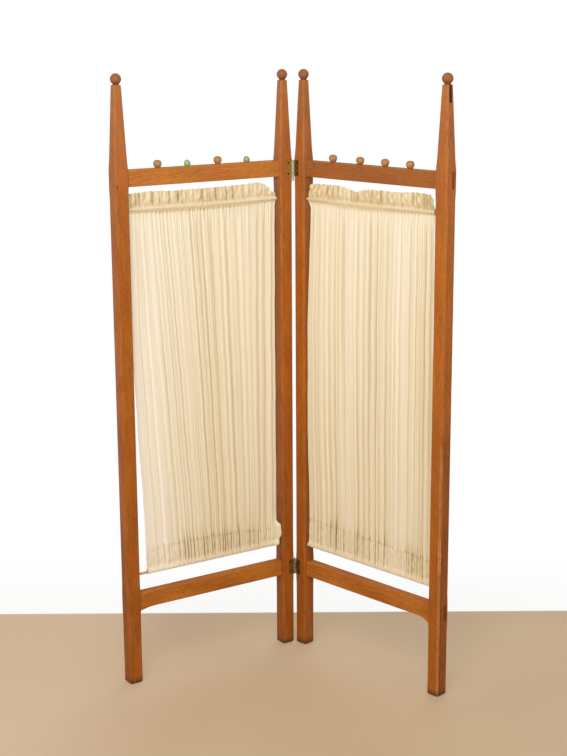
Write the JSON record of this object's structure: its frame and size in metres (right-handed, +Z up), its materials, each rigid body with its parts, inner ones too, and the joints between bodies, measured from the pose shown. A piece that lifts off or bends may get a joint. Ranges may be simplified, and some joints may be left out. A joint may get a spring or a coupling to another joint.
{
  "type": "dressing screen",
  "caption": "Two-panel folding dressing screen with tapered oak posts, turned finials and knobs, and gathered curtains on dowels.",
  "frame": {"origin": "on the floor, below the middle of the whole screen's box", "axes": "+Z up, +Y from the viewer towards the hinge side, +X to the viewer's right"},
  "size_m": [0.747, 0.313, 1.3947],
  "materials": {
    "oak_post": "waxed",
    "oak_rail": "waxed",
    "turned_finial": "waxed",
    "turned_knob": "satin",
    "green_bead": "glossy",
    "dowel": "raw",
    "curtain_cotton": "matte",
    "bright_brass": "worn",
    "tarnished_brass": "tarnished",
    "hinge_pin": "dull"
  },
  "bodies": {
    "left_panel": {"left_outer_post": "oak_post", "left_inner_post": "oak_post", "left_top_rail": "oak_rail", "left_bottom_rail": "oak_rail", "left_outer_finial": "turned_finial", "left_inner_finial": "turned_finial", "left_knob_1": "green_bead", "left_knob_2": "turned_knob", "left_knob_3": "green_bead", "left_knob_4": "turned_knob", "left_top_rod": "dowel", "left_bottom_rod": "dowel", "left_curtain": "curtain_cotton", "upper_hinge_left_leaf": "bright_brass", "upper_hinge_pin": "hinge_pin", "upper_hinge_left_screws": "bright_brass", "lower_hinge_left_leaf": "bright_brass", "lower_hinge_pin": "hinge_pin", "lower_hinge_left_screws": "bright_brass"},
    "right_panel": {"right_outer_post": "oak_post", "right_inner_post": "oak_post", "right_top_rail": "oak_rail", "right_bottom_rail": "oak_rail", "right_outer_finial": "turned_finial", "right_inner_finial": "turned_finial", "right_knob_1": "turned_knob", "right_knob_2": "turned_knob", "right_knob_3": "turned_knob", "right_knob_4": "turned_knob", "right_top_rod": "dowel", "right_bottom_rod": "dowel", "right_curtain": "curtain_cotton", "upper_hinge_right_leaf": "tarnished_brass", "upper_hinge_right_screws": "tarnished_brass", "lower_hinge_right_leaf": "tarnished_brass", "lower_hinge_right_screws": "tarnished_brass"}
  },
  "joints": [
    {"name": "panel_fold", "type": "hinge", "parent": "left_panel", "child": "right_panel", "pos_m": [0, 0.13198, 0.6847], "axis": [0, 0, 1], "range_deg": [-101, 79]}
  ]
}
